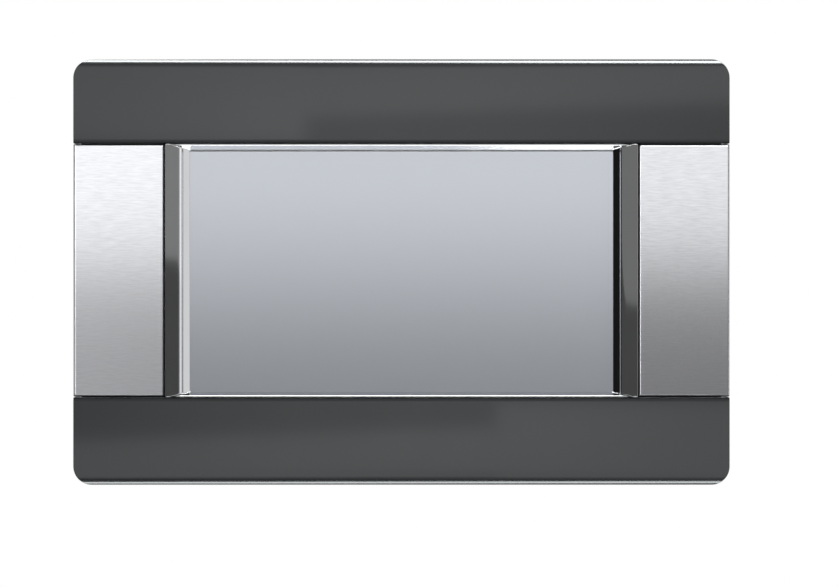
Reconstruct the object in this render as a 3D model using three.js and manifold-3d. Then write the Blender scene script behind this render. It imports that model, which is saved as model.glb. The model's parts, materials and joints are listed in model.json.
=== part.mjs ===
// A flush-mounted touch panel: a recessed screen between two lift-off side covers and two long trims,
// with its electronics in a moulded rear housing that four swing-out clamps hold in a wall opening.
//
// Frame: X runs to the right, Y into the wall and Z up, in millimetres. The origin is the middle of
// the wall opening, on the wall's front face, so whatever has a negative Y stands proud of the wall.

import * as THREE from "three";
import { mergeVertices } from "three/addons/utils/BufferGeometryUtils.js";
import Module from "manifold-3d";

const wasm = await Module();
wasm.setup();

// ---------------------------------------------------------------- driving dimensions

// Overall front.
const FRONT_WIDTH = 242;
const FRONT_HEIGHT = 157.2;
const FRONT_DEPTH = 13; // from the wall to the face of the trims
const CORNER_RADIUS = 7;

// What frames the screen, as it shows from the front. The screen takes the rest.
const COVER_WIDTH = 33.4;
const STRIP_ABOVE = 33.4; // from the screen's opening to the upper edge
const STRIP_BELOW = 34.3;
const LIP_TOP = 2.2; // of the strip above the screen, what isn't trim
const LIP_BOTTOM = 1.95;
const CHROME_WIDTH = 2.4; // of the recess's side walls, as far as the cheeks
const CHROME_UNDER = 0.8; // how far those walls run on under the cheeks' noses
const CHEEK_WIDTH = 6.7;
const RECESS_DEPTH = 5; // from the face of the trims to the glass
const LIP_THICKNESS = 0.8; // of the surround where it overlaps the glass
const MITRE_REACH = 6; // how far the lips' mitres run outward from the opening's corners

// Clearances.
const FIT_GAP = 0.3; // between pieces that fit into one another
const LAYER_GAP = 0.1; // between the flat layers of the display stack
const SEAM = 0.4; // the visible joint lines on the front
const PAST = 1; // how far a cutting tool runs past what it cuts
const BITE = 1; // how far a piece that is joined on runs into what carries it

// Trims and side covers.
const TRIM_WALL = 1.8;
const TRIM_OUTER_ROUND = 3.2;
const TRIM_INNER_FADE = 1.6; // where its face starts to fall away towards the screen
const TRIM_INNER_FALL = 0.4; // and by how much
const TRIM_SEGMENTS = 8; // of each of its curves
const SKIRT_LIFT = 0.8; // how far the outer walls stop short of the wall
const COVER_WALL = 1.6;
const COVER_FLOOR = 1.4;
const PLATE_INSET = 0.3; // the tray's edge that shows around the steel plate
const PLATE_THICKNESS = 0.8;
const PLATE_SET_BACK = 0.6; // of the plates behind the face of the trims
const PLATE_BEVEL = 0.3;
const CHEEK_SET_BACK = 0.4;
const LIP_SET_BACK = 0.65; // of the surround's highest edge
const CHEEK_ROUND = 2.4; // the width of its nose's roll
const CHEEK_SEGMENTS = 8; // of that roll
const PEG_RADIUS = 1.8;
const PEG_DEPTH = 1.2; // of the blind holes that the pegs and tongues go into
const PEG_SPACING = 24;
const TONGUE = { width: 12, thickness: 2, place: 0.6 }; // its place is a share of the half opening
const TRIM_WALL_LIFT = 0.7; // from the end of a trim's inner wall to the surround

// Carrier, the moulded chassis behind the front.
const CARRIER_THICKNESS = 3;
const WINDOW_WALL = 2.2; // the raised wall around its window
const PAD_CAP = 1; // of the pads for the housing's screws, in front of their holes
const WALL_STEP = 0.3; // its back is this much lower inside the wall opening
const GASKET_WIDTH = 4;
const GASKET_DEPTH = 1.5;
const GASKET_EDGE = 2.5; // from the carrier's edge to the gasket groove
const GASKET_CORNER = 4;
const GASKET_SEGMENTS = 4; // of each rounded corner

// Display stack.
const GLASS_THICKNESS = 1.8;
const GLASS_OVERLAP = 3; // of the glass behind the lip, on each side
const SEAL_THICKNESS = 0.8;
const SEAL_WIDTH = 2.6;
const MODULE_OVERLAP_X = 4.2; // of the display module beyond the opening, on each side
const MODULE_OVERLAP_Z = 5;
const MODULE_SHEET = 0.4;
const BEZEL_REVEAL = 0.7; // of the module's bezel, inside the opening's upper edge
const CELL_THICKNESS = 1.4;
const LIGHT_GUIDE_THICKNESS = 3;
const REFLECTOR_THICKNESS = 0.8;
const FLEX_THICKNESS = 0.2;
const TOUCH_FLEX_WIDTH = 20;
const LCD_FLEX_WIDTH = 34;
const FLEX_BOND = 1; // from the opening to where the touch flex is bonded to the glass
const FLEX_TAIL = 6.5; // from a flex's bend to its end in the socket
const FLEX_SOCKET_DEPTH = 4;
const FLEX_SOCKET_END = 2; // beyond its ribbon, at each end
const FLEX_SOCKET_HEIGHT = 1.6; // of its ribbon, from the board
const LCD_FLEX_START = 18; // from the bend to where it joins the module
const FLEX_NOTCH = 1.2; // depth of the carrier's notch for the touch flex

// Bracket and main board.
const BRACKET_THICKNESS = 1;
const BRACKET_INSET = 1.2; // from the module's edge, above and below
const BRACKET_SPACE = 1; // behind the module, for the display flex
const BRACKET_WINDOW = 20; // square windows in the sheet, in two rows
const BRACKET_PITCH = 28;
const BRACKET_COLUMNS = [-2, -1, 0, 1, 2];
const POST_LENGTH = 5.4;
const POST_RADIUS = 3;
const POST_FROM_SIDE = 8; // from the board's side and top to the posts
const POST_FROM_TOP = 12;
const BOARD_THICKNESS = 1.6;
const BOARD_HOLE_RADIUS = 1.6;
const BOARD_MARGIN = 1.3; // from the board to the housing's bottom wall
const BOARD_TO_COLUMN = 1; // from the board to the housing's columns
const CONNECTOR_INSET = 4; // from the board's end to the first and last connector

// Components on the back of the board.
const ROW_DROP = 32; // from the board's upper edge to the middle of their row
const PROCESSOR = { x: -8, rise: 0, width: 23, height: 23, tall: 2.2 };
const MEMORY = { x: 28, rise: 18, width: 14, height: 9, tall: 1.2 };
const FLASH = { x: 28, rise: 0, width: 12, height: 18, tall: 1.2 };
const HEAT_SINK = { size: 34, base: 2.4, height: 12, fins: 9, fin: 1.4 };
const BUTTON_CELL = { radius: 10, thickness: 3.2, inset: 15 };
const CELL_HOLDER = { wall: 2, floor: 1, thumbCut: 9 };
const SOUNDER = { radius: 6, height: 8, inset: 18, opening: 1, floor: 3 };

// Rear housing.
const HOUSING_DEPTH = 34;
const HOUSING_WALL = 2.2;
const HOUSING_RADIUS = 5;
const HOUSING_CLEAR_Z = 4.5; // from the module to the housing's outside, above and below
const COLUMN_RADIUS = 4;
const HOUSING_SCREW_RADIUS = 1.5;
const HOUSING_SCREW_HEAD = 2.8;
const HOUSING_SCREW_DEPTH = 12; // of the screw heads' seats, from the wall
const VENT_WIDTH = 3;
const VENT_PITCH = 7;
const VENT_FREE = 22; // from the housing's inside to the last vents
const BACK_VENTS = [20, 38]; // their reach, from the middle up
const TOP_VENTS = [6, 20]; // their reach, from the back forward
const LABEL_X = [-55, 55]; // a blank plate in a shallow recess at the back
const LABEL_Z = [-40, 8];
const LABEL_CORNER = 2;
const LABEL_RECESS = 0.5;
const LABEL_THICKNESS = 0.3;
const COLUMN_BITE = 0.2; // how far the columns run into the housing's corners
const CUTOUT_GAP_X = 0.5; // from what goes through the wall opening to its edge
const CUTOUT_GAP_Z = 2;
const SCREW_HEAD = { height: 2.2, edge: 0.7, slot: 0.8, cross: 3.4, deep: 1.2, tip: 0.4, end: 1.4 };

// Swing-out clamps.
const CLAMP_SCREW_RADIUS = 2;
const CLAMP_HEAD_RADIUS = 4;
const CLAMP_HEAD_HEIGHT = 2.6;
const CLAMP_SCREW_SHAPE = { edge: 1, crown: 0.9, slot: 1, cross: 4.6, deep: 1.6, tip: 0.6, end: 0.6 };
const CLAMP_BAY = 8.3; // from the housing's side to the screw's axis
const CLAMP_FROM_TOP = 20; // from the housing's top or bottom to the screw's axis
const DOG_WIDTH = 12;
const DOG_THICKNESS = 10;
const DOG_REACH = 15.5; // from the screw's axis to the tip
const DOG_RELIEF = 4.5; // how much thinner its toe is
const DOG_SHOULDER = 1; // from its round end's side to the thinner toe
const DOG_SEGMENTS = 8; // of each half of the round end
const TOOTH_COUNT = 3;
const TOOTH_PITCH = 2;
const TOOTH_DEPTH = 0.6;
const DOG_CLEARANCE = 2.7; // from the insert's flange to the ear, as delivered
const INSERT_RADIUS = 3.5;
const INSERT_RIM = 1.5; // how far its flange stands out
const INSERT_FLANGE = 1;
const EAR_THICKNESS = 3;
const EAR_RIB = 2;
const EAR_RIB_START = 1.3; // from the wall's face

// Connectors along the bottom edge of the board.
const POWER = { poles: 3, pitch: 5.08, entry: 3.2 };
const BUS = { poles: 4, pitch: 3.81, entry: 2.4 };
const SHROUD_WALL = 1;
const SHROUD_HEIGHT = 8.4;
const HEADER_FLOOR = 4; // of a header, behind its cavity
const NOSE_LENGTH = 7; // of a plug, inside its header
const PLUG_BODY = 10; // length of a plug outside the housing
const PLUG_HEIGHT = 10.4;
const PLUG_WELL = { fromTop: 4.6, floor: 2.4, sides: 14 }; // over each of its wire screws
const WIRE_ENTRY_CAP = 3; // from a wire entry's inner end to the header
const PIN_RADIUS = 0.55;
const PIN_SIDES = 10;
const PIN_SET_BACK = 1.5; // of the pins' tips, inside the shroud
const PIN_SOCKET_START = 0.6; // into a plug's nose
const ETHERNET = { width: 16, height: 13.4, depth: 21 };
const ETHERNET_SOCKET = { width: 11.8, height: 8, depth: 14, offset: -0.6 };
const ETHERNET_LATCH = { width: 6, height: 1.8 };
const ETHERNET_LATCH_TIP = { width: 3.2, height: 3 };
const USB = { width: 13.4, height: 6.2, depth: 14, wall: 0.5, floor: 3 };
const USB_TONGUE = { width: 11, thickness: 1.8, offset: -0.6, setBack: 1.2, end: 2 };
const CARD = { width: 24, thickness: 2.1, length: 32, proud: 1.8, chamfer: 3, shell: 0.5, stop: 1.5 };
const RESET = { size: 6, height: 5, body: 4, depth: 9, radius: 1.6, travel: 0.5, recess: 0.6, floor: 1 };
const RESET_OPENING = 0.6; // around the button

// ---------------------------------------------------------------- places worked out from them

const halfWidth = FRONT_WIDTH / 2;
const halfHeight = FRONT_HEIGHT / 2;
const coverInner = halfWidth - COVER_WIDTH;
const cheekOuter = coverInner - SEAM;
const cheekInner = cheekOuter - CHEEK_WIDTH;
const chromeOuter = cheekInner + CHROME_UNDER;
const openingX = cheekInner - CHROME_WIDTH;
const openingTop = halfHeight - STRIP_ABOVE;
const openingBottom = STRIP_BELOW - halfHeight;
const openingZ = (openingTop - openingBottom) / 2; // half its height, which the display is sized to
const bandTop = openingTop + LIP_TOP; // lower edge of the top trim
const bandBottom = openingBottom - LIP_BOTTOM; // upper edge of the bottom trim
const band = [bandBottom + FIT_GAP, bandTop - FIT_GAP]; // what fits between the trims

const trimFace = -FRONT_DEPTH;
const cheekFace = trimFace + CHEEK_SET_BACK;
const plateFace = trimFace + PLATE_SET_BACK;
const plateBack = plateFace + PLATE_THICKNESS;
const glassFace = trimFace + RECESS_DEPTH;
const glassBack = glassFace + GLASS_THICKNESS;
const lipBack = glassFace - LAYER_GAP;
const lipFront = lipBack - LIP_THICKNESS;
const wallFront = trimFace + LIP_SET_BACK;
const sealFront = glassBack + LAYER_GAP;
const sealBack = sealFront + SEAL_THICKNESS;
const surroundBack = glassBack + 2 * LAYER_GAP;
const flexPlane = surroundBack + LAYER_GAP + FLEX_THICKNESS / 2; // of the touch flex
const moduleFront = sealBack + LAYER_GAP;
const cellFront = moduleFront + MODULE_SHEET + LAYER_GAP;
const guideFront = cellFront + CELL_THICKNESS + LAYER_GAP;
const reflectorFront = guideFront + LIGHT_GUIDE_THICKNESS + LAYER_GAP;
const reflectorBack = reflectorFront + REFLECTOR_THICKNESS;
const bracketFront = reflectorBack + BRACKET_SPACE;
const bracketBack = bracketFront + BRACKET_THICKNESS;
const boardFront = bracketBack + POST_LENGTH + LAYER_GAP;
const boardBack = boardFront + BOARD_THICKNESS;
const onBoard = boardBack + LAYER_GAP; // where components start

const carrierFront = -CARRIER_THICKNESS;
const windowWallFront = surroundBack + LAYER_GAP;
const pegTip = carrierFront + PEG_DEPTH - FIT_GAP;
const coverRear = surroundBack; // where the side covers' inner walls end

const moduleX = openingX + MODULE_OVERLAP_X;
const moduleZ = openingZ + MODULE_OVERLAP_Z;
const windowX = moduleX + SEAM;
const windowZ = moduleZ + SEAM;
const touchFlexEdge = windowZ + FLEX_NOTCH / 2; // where the touch flex goes over the module
const bracketZ = moduleZ - BRACKET_INSET;
const lcdFlexEdge = -bracketZ - 0.5 * BRACKET_INSET; // where the display flex goes round the bracket

const clampX = (coverInner + halfWidth) / 2;
const housingX = clampX - CLAMP_BAY;
const housingZ = moduleZ + HOUSING_CLEAR_Z;
const housingInnerX = housingX - HOUSING_WALL;
const housingInnerZ = housingZ - HOUSING_WALL;
const housingFront = 0;
const clampZ = housingZ - CLAMP_FROM_TOP;
const earFront = HOUSING_DEPTH - EAR_THICKNESS;
const flangeFront = earFront - DOG_CLEARANCE - INSERT_FLANGE;
const dogBack = flangeFront - FIT_GAP;
const dogFront = dogBack - DOG_THICKNESS; // the dog's gripping face, as delivered
const earOuter = clampX + DOG_WIDTH / 2 + FIT_GAP;
const cutoutX = earOuter + CUTOUT_GAP_X;
const cutoutZ = housingZ + CUTOUT_GAP_Z;
const columnX = housingInnerX - COLUMN_RADIUS + COLUMN_BITE;
const columnZ = housingInnerZ - COLUMN_RADIUS + COLUMN_BITE;

const boardX = columnX - COLUMN_RADIUS - BOARD_TO_COLUMN;
const boardBottom = -housingInnerZ + BOARD_MARGIN;
const boardTop = housingInnerZ - 2 * BOARD_MARGIN;
const postX = boardX - POST_FROM_SIDE;
const postZ = boardTop - POST_FROM_TOP;
const mouth = -housingZ; // the plane of the connectors' mouths

// ---------------------------------------------------------------- solids

// A closed geometry as a solid that can be joined and cut.
function solid(geometry) {
  const bare = geometry.index ? geometry.toNonIndexed() : geometry;
  const positions = new THREE.BufferGeometry();
  positions.setAttribute("position", bare.getAttribute("position"));
  const merged = mergeVertices(positions, 1e-4);
  return new wasm.Manifold(
    new wasm.Mesh({
      numProp: 3,
      vertProperties: merged.attributes.position.array,
      triVerts: new Uint32Array(merged.index.array),
    }),
  );
}

// The geometry of a solid, for a mesh.
function geometryOf(made) {
  const { vertProperties, triVerts } = made.getMesh();
  const geometry = new THREE.BufferGeometry();
  geometry.setAttribute("position", new THREE.BufferAttribute(vertProperties, 3));
  geometry.setIndex(new THREE.BufferAttribute(triVerts, 1));
  const faceted = geometry.toNonIndexed();
  faceted.computeVertexNormals();
  return faceted;
}

const join = (...solids) => solids.reduce((sum, each) => sum.add(each));
const cut = (base, ...tools) => tools.reduce((left, tool) => left.subtract(tool), base);

// Ranges of one coordinate, as [low, high].
const around = (middle, size) => [middle - size / 2, middle + size / 2];
const bothSides = (half) => [-half, half];
const onSide = (side, near, far) => (side > 0 ? [near, far] : [-far, -near]);
const grown = ([low, high], by) => [low - by, high + by];

function block([x0, x1], [y0, y1], [z0, z1]) {
  const geometry = new THREE.BoxGeometry(x1 - x0, y1 - y0, z1 - z0);
  geometry.translate((x0 + x1) / 2, (y0 + y1) / 2, (z0 + z1) / 2);
  return solid(geometry);
}

function rodAlongY(x, z, radius, [y0, y1], sides = 24) {
  const geometry = new THREE.CylinderGeometry(radius, radius, y1 - y0, sides);
  geometry.translate(x, (y0 + y1) / 2, z);
  return solid(geometry);
}

function rodAlongZ(x, y, radius, [z0, z1], sides = 20) {
  const geometry = new THREE.CylinderGeometry(radius, radius, z1 - z0, sides);
  geometry.rotateX(Math.PI / 2);
  geometry.translate(x, y, (z0 + z1) / 2);
  return solid(geometry);
}

// A flat outline in (x, z) extruded along Y.
function alongY(shape, [y0, y1], curveSegments = 6) {
  const geometry = new THREE.ExtrudeGeometry(shape, {
    depth: y1 - y0,
    bevelEnabled: false,
    curveSegments,
  });
  geometry.rotateX(Math.PI / 2);
  geometry.translate(0, y1, 0);
  return solid(geometry);
}

// A section in (y, z) extruded along X.
function alongX(section, [x0, x1], curveSegments = 5) {
  const geometry = new THREE.ExtrudeGeometry(section, {
    depth: x1 - x0,
    bevelEnabled: false,
    curveSegments,
  });
  geometry.applyMatrix4(new THREE.Matrix4().set(0, 0, 1, x0, 1, 0, 0, 0, 0, 1, 0, 0, 0, 0, 0, 1));
  return solid(geometry);
}

// A section in (x, y) extruded along Z.
function alongZ(section, [z0, z1], curveSegments = 5) {
  const geometry = new THREE.ExtrudeGeometry(section, {
    depth: z1 - z0,
    bevelEnabled: false,
    curveSegments,
  });
  geometry.translate(0, 0, z0);
  return solid(geometry);
}

// A solid of revolution about the Y axis, from (radius, y) pairs in order of y.
function turned(profile, sides = 24) {
  return solid(new THREE.LatheGeometry(profile.map(([r, y]) => new THREE.Vector2(r, y)), sides));
}

// A rectangle with its own radius at each corner: lower left, lower right, upper right, upper left.
function outline([x0, x1], [z0, z1], lowerLeft, lowerRight, upperRight, upperLeft) {
  const shape = new THREE.Shape();
  shape.moveTo(x0 + lowerLeft, z0);
  shape.lineTo(x1 - lowerRight, z0);
  if (lowerRight) shape.absarc(x1 - lowerRight, z0 + lowerRight, lowerRight, -Math.PI / 2, 0);
  shape.lineTo(x1, z1 - upperRight);
  if (upperRight) shape.absarc(x1 - upperRight, z1 - upperRight, upperRight, 0, Math.PI / 2);
  shape.lineTo(x0 + upperLeft, z1);
  if (upperLeft) shape.absarc(x0 + upperLeft, z1 - upperLeft, upperLeft, Math.PI / 2, Math.PI);
  shape.lineTo(x0, z0 + lowerLeft);
  if (lowerLeft) shape.absarc(x0 + lowerLeft, z0 + lowerLeft, lowerLeft, Math.PI, 1.5 * Math.PI);
  return shape;
}

const rounded = (xs, zs, radius) => outline(xs, zs, radius, radius, radius, radius);

// A solid whose section goes evenly from a rectangle at y0 to another at y1.
function funnel(y0, xs0, zs0, y1, xs1, zs1) {
  const geometry = new THREE.BoxGeometry(1, 1, 1);
  const corners = geometry.getAttribute("position");
  for (let i = 0; i < corners.count; i++) {
    const [y, xs, zs] = corners.getY(i) < 0 ? [y0, xs0, zs0] : [y1, xs1, zs1];
    corners.setXYZ(i, xs[corners.getX(i) < 0 ? 0 : 1], y, zs[corners.getZ(i) < 0 ? 0 : 1]);
  }
  return solid(geometry);
}

// ---------------------------------------------------------------- front

// The outline of the whole front, moved in by an inset.
function frontOutline(inset) {
  return rounded(
    bothSides(halfWidth - inset),
    bothSides(halfHeight - inset),
    CORNER_RADIUS - inset,
  );
}

// A long trim: a hollow channel with a rounded front, closed at its ends. up is 1 for the top one
// and -1 for the bottom one.
function trim(up) {
  const inner = up > 0 ? bandTop : bandBottom;
  const outer = up * halfHeight;
  const skirt = -SKIRT_LIFT;
  const section = new THREE.Shape();
  section.moveTo(skirt, inner);
  section.lineTo(trimFace + TRIM_INNER_FALL, inner);
  section.quadraticCurveTo(
    trimFace,
    inner + (up * TRIM_INNER_FADE) / 2,
    trimFace,
    inner + up * TRIM_INNER_FADE,
  );
  section.lineTo(trimFace, outer - up * TRIM_OUTER_ROUND);
  section.quadraticCurveTo(trimFace, outer, trimFace + TRIM_OUTER_ROUND, outer);
  section.lineTo(skirt, outer);
  const full = alongX(section, bothSides(halfWidth), TRIM_SEGMENTS).intersect(
    alongY(frontOutline(0), [trimFace, skirt]),
  );

  const hollowFrom = inner + up * TRIM_WALL;
  const hollow = block(
    bothSides(halfWidth),
    [trimFace + TRIM_WALL, 0],
    up > 0 ? [hollowFrom, outer] : [outer, hollowFrom],
  ).intersect(alongY(frontOutline(TRIM_WALL), [trimFace, 0]));
  const underInnerWall = block(
    bothSides(halfWidth - TRIM_WALL),
    [lipFront - TRIM_WALL_LIFT, 0],
    around(inner, 2 * TRIM_WALL + PAST),
  );
  const tongues = tongueMiddles(inner, outer).map(({ x, z }) =>
    block(around(x, TONGUE.width), [trimFace + BITE, pegTip], around(z, TONGUE.thickness)),
  );
  return join(cut(full, hollow, underInnerWall), ...tongues);
}

// The middles of the tongues on a trim that runs from inner to outer.
function tongueMiddles(inner, outer) {
  return [-TONGUE.place, TONGUE.place].map((share) => ({
    x: share * openingX,
    z: (inner + outer) / 2,
  }));
}

// The places of the pegs on a side cover, from its middle.
const PEG_PLACES = bothSides(PEG_SPACING / 2);
const PEG_SIDES = 16;

// The tray of a lift-off side cover. side is 1 for the right, -1 for the left.
function coverTray(side) {
  const xs = onSide(side, coverInner, halfWidth);
  const front = plateBack + LAYER_GAP;
  const body = block(xs, [front, coverRear], band);
  const outerWall = block(
    onSide(side, halfWidth - COVER_WALL, halfWidth),
    [front, -SKIRT_LIFT],
    band,
  );
  const hollow = block(
    grown(xs, -COVER_WALL),
    [front + COVER_FLOOR, 0],
    grown(band, -COVER_WALL),
  );
  const pegs = PEG_PLACES.map((z) =>
    rodAlongY(side * clampX, z, PEG_RADIUS, [front + COVER_FLOOR / 2, pegTip], PEG_SIDES),
  );
  return join(cut(join(body, outerWall), hollow), ...pegs);
}

// The steel plate on a side cover, with a fine bevel round its face.
function sidePlate(side) {
  const xs = grown(onSide(side, coverInner, halfWidth), -PLATE_INSET);
  const zs = grown(band, -PLATE_INSET);
  const bevelBack = plateFace + PLATE_BEVEL;
  return join(
    block(xs, [bevelBack, plateBack], zs),
    funnel(plateFace, grown(xs, -PLATE_BEVEL), grown(zs, -PLATE_BEVEL), bevelBack, xs, zs),
  );
}

// The front of a side wall of the recess, at a place x from the middle.
const wallY = (x) => lipFront - ((x - openingX) / MITRE_REACH) * (lipFront - wallFront);

// A cheek: the strip between a side cover and the screen's recess. Its nose rolls over the edge of
// the recess's side wall, and the lips' mitred ends take its inner corners.
function cheek(side) {
  const back = lipFront - FIT_GAP;
  const step = chromeOuter + FIT_GAP;
  const section = new THREE.Shape();
  section.moveTo(side * cheekOuter, back);
  section.lineTo(side * cheekOuter, cheekFace);
  section.lineTo(side * (cheekInner + CHEEK_ROUND), cheekFace);
  section.quadraticCurveTo(
    side * cheekInner,
    cheekFace,
    side * cheekInner,
    wallY(cheekInner) - FIT_GAP,
  );
  section.lineTo(side * step, wallY(step) - FIT_GAP);
  section.lineTo(side * step, back);
  return cut(
    alongZ(section, band, CHEEK_SEGMENTS),
    alongY(lipOutline(1, FIT_GAP), [trimFace, 0]),
    alongY(lipOutline(-1, FIT_GAP), [trimFace, 0]),
  );
}

// The outline of the lip above or below the screen, widened by a clearance, with its mitred ends.
function lipOutline(up, clearance) {
  const edge = up > 0 ? openingTop : openingBottom;
  const outer = up > 0 ? band[1] : band[0];
  const slope = (up * (outer - edge)) / MITRE_REACH;
  const offset = clearance * Math.hypot(1, slope);
  const tipX = openingX + MITRE_REACH + (clearance + offset) / slope;
  const tipZ = outer + up * clearance;
  const nearZ = edge - up * offset;
  const shape = new THREE.Shape();
  shape.moveTo(-openingX, nearZ);
  shape.lineTo(openingX, nearZ);
  shape.lineTo(tipX, tipZ);
  shape.lineTo(-tipX, tipZ);
  return shape;
}

// The chromed surround: a flat ring that holds the glass, with the recess's sloping walls on it.
function screenSurround() {
  const depth = [wallFront, lipFront];
  const openingHeight = [openingBottom, openingTop];
  const walls = join(
    block(bothSides(chromeOuter), depth, band),
    alongY(lipOutline(1, 0), depth),
    alongY(lipOutline(-1, 0), depth),
  );
  const slope = funnel(
    wallFront,
    bothSides(openingX + MITRE_REACH),
    band,
    lipFront,
    bothSides(openingX),
    openingHeight,
  );
  const ring = block(
    bothSides(cheekOuter),
    [lipFront, surroundBack],
    [bandBottom - GLASS_OVERLAP, bandTop + GLASS_OVERLAP],
  );
  const opening = block(bothSides(openingX), [trimFace, 0], openingHeight);
  const pocket = block(
    bothSides(openingX + GLASS_OVERLAP + FIT_GAP),
    [lipBack, 0],
    bothSides(openingZ + GLASS_OVERLAP + FIT_GAP),
  );
  return cut(join(cut(walls, slope), ring), opening, pocket);
}

// The carrier: a flat chassis with a raised wall round its window, seats for the front's pegs and
// tongues, pads for the housing's screws, and the groove for the wall gasket at its back.
function frontCarrier() {
  const inset = TRIM_WALL + FIT_GAP;
  const plate = alongY(frontOutline(inset), [carrierFront, 0]);
  const windowWall = block(
    bothSides(windowX + WINDOW_WALL),
    [windowWallFront, carrierFront],
    bothSides(windowZ + WINDOW_WALL),
  );
  const pads = corners(columnX, columnZ).map(({ x, z }) =>
    rodAlongY(x, z, COLUMN_RADIUS, [windowWallFront, carrierFront + BITE]),
  );
  const through = [windowWallFront - PAST, PAST];
  const throughPlate = [carrierFront - PAST, PAST];
  const window = block(bothSides(windowX), through, bothSides(windowZ));
  const flexNotch = block(
    bothSides(TOUCH_FLEX_WIDTH / 2 + FIT_GAP),
    through,
    [windowZ - PAST, windowZ + FLEX_NOTCH],
  );
  const step = block(bothSides(cutoutX), [-WALL_STEP, PAST], bothSides(cutoutZ));
  const screwHoles = corners(columnX, columnZ).map(({ x, z }) =>
    rodAlongY(x, z, HOUSING_SCREW_RADIUS + FIT_GAP, [windowWallFront + PAD_CAP, PAST]),
  );
  const clampHoles = corners(clampX, clampZ).map(({ x, z }) =>
    rodAlongY(x, z, CLAMP_SCREW_RADIUS + FIT_GAP, throughPlate),
  );
  const blind = [carrierFront - PAST, carrierFront + PEG_DEPTH];
  const pegHoles = [-clampX, clampX].flatMap((x) =>
    PEG_PLACES.map((z) => rodAlongY(x, z, PEG_RADIUS + FIT_GAP, blind, PEG_SIDES)),
  );
  const tongueSlots = [
    ...tongueMiddles(bandTop, halfHeight),
    ...tongueMiddles(bandBottom, -halfHeight),
  ].map(({ x, z }) =>
    block(
      around(x, TONGUE.width + 2 * FIT_GAP),
      blind,
      around(z, TONGUE.thickness + 2 * FIT_GAP),
    ),
  );
  return cut(
    join(plate, windowWall, ...pads),
    window,
    flexNotch,
    step,
    gasketRing(0, [-GASKET_DEPTH, PAST]),
    ...screwHoles,
    ...clampHoles,
    ...pegHoles,
    ...tongueSlots,
  );
}

// A ring at the gasket's place, narrowed by a clearance on each side.
function gasketRing(clearance, ys) {
  const edge = TRIM_WALL + FIT_GAP + GASKET_EDGE + clearance;
  const width = GASKET_WIDTH - 2 * clearance;
  return cut(
    alongY(ringOutline(edge), ys, GASKET_SEGMENTS),
    alongY(ringOutline(edge + width), grown(ys, PAST), GASKET_SEGMENTS),
  );
}

function ringOutline(inset) {
  return rounded(bothSides(halfWidth - inset), bothSides(halfHeight - inset), GASKET_CORNER);
}

const wallGasket = () => gasketRing(FIT_GAP, [-GASKET_DEPTH + LAYER_GAP, -LAYER_GAP]);

// ---------------------------------------------------------------- display stack

const touchGlass = () =>
  block(
    bothSides(openingX + GLASS_OVERLAP),
    [glassFace, glassBack],
    bothSides(openingZ + GLASS_OVERLAP),
  );

// The foam seal between glass and display module, notched where the touch flex passes.
function glassSeal() {
  const outerX = openingX + GLASS_OVERLAP;
  const outerZ = openingZ + GLASS_OVERLAP;
  const ys = [sealFront, sealBack];
  const ring = cut(
    block(bothSides(outerX), ys, bothSides(outerZ)),
    block(bothSides(outerX - SEAL_WIDTH), grown(ys, PAST), bothSides(outerZ - SEAL_WIDTH)),
  );
  const notch = block(
    bothSides(TOUCH_FLEX_WIDTH / 2 + FIT_GAP),
    [sealFront - PAST, flexPlane + FLEX_THICKNESS / 2 + LAYER_GAP],
    [outerZ - SEAL_WIDTH - PAST, outerZ + PAST],
  );
  return cut(ring, notch);
}

// The display module's steel bezel: a shallow tray with a window, open at the back.
function lcdFrame() {
  const walls = block(bothSides(moduleX), [moduleFront, reflectorBack], bothSides(moduleZ));
  const hollow = block(
    bothSides(moduleX - MODULE_SHEET),
    [moduleFront + MODULE_SHEET, reflectorBack + PAST],
    bothSides(moduleZ - MODULE_SHEET),
  );
  const window = block(
    bothSides(openingX + BEZEL_REVEAL),
    [moduleFront - PAST, reflectorBack],
    [openingBottom - BEZEL_REVEAL, openingTop - BEZEL_REVEAL],
  );
  return cut(walls, hollow, window);
}

// A flat layer inside the module's bezel.
function moduleLayer(front, thickness) {
  const inset = MODULE_SHEET + FIT_GAP;
  return block(
    bothSides(moduleX - inset),
    [front, front + thickness],
    bothSides(moduleZ - inset),
  );
}

// A ribbon of even thickness along a path of (y, z) points, all of its runs square to one another.
function ribbon(width, points) {
  const half = FLEX_THICKNESS / 2;
  const runs = points.slice(1).map(([y1, z1], i) => {
    const [y0, z0] = points[i];
    return block(
      bothSides(width / 2),
      grown([Math.min(y0, y1), Math.max(y0, y1)], half),
      grown([Math.min(z0, z1), Math.max(z0, z1)], half),
    );
  });
  return join(...runs);
}

// From the back of the glass, over the module's edge and round to its socket on the board's front.
function touchFlex() {
  const socket = boardFront - FLEX_SOCKET_HEIGHT;
  return ribbon(TOUCH_FLEX_WIDTH, [
    [flexPlane, openingZ + FLEX_BOND],
    [flexPlane, touchFlexEdge],
    [socket, touchFlexEdge],
    [socket, touchFlexEdge - FLEX_TAIL],
  ]);
}

// From the back of the display module, round the bracket's lower edge to its socket.
function lcdFlex() {
  const start = reflectorBack + BRACKET_SPACE / 2;
  const socket = boardFront - FLEX_SOCKET_HEIGHT;
  return ribbon(LCD_FLEX_WIDTH, [
    [start, lcdFlexEdge + LCD_FLEX_START],
    [start, lcdFlexEdge],
    [socket, lcdFlexEdge],
    [socket, lcdFlexEdge + FLEX_TAIL],
  ]);
}

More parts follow.
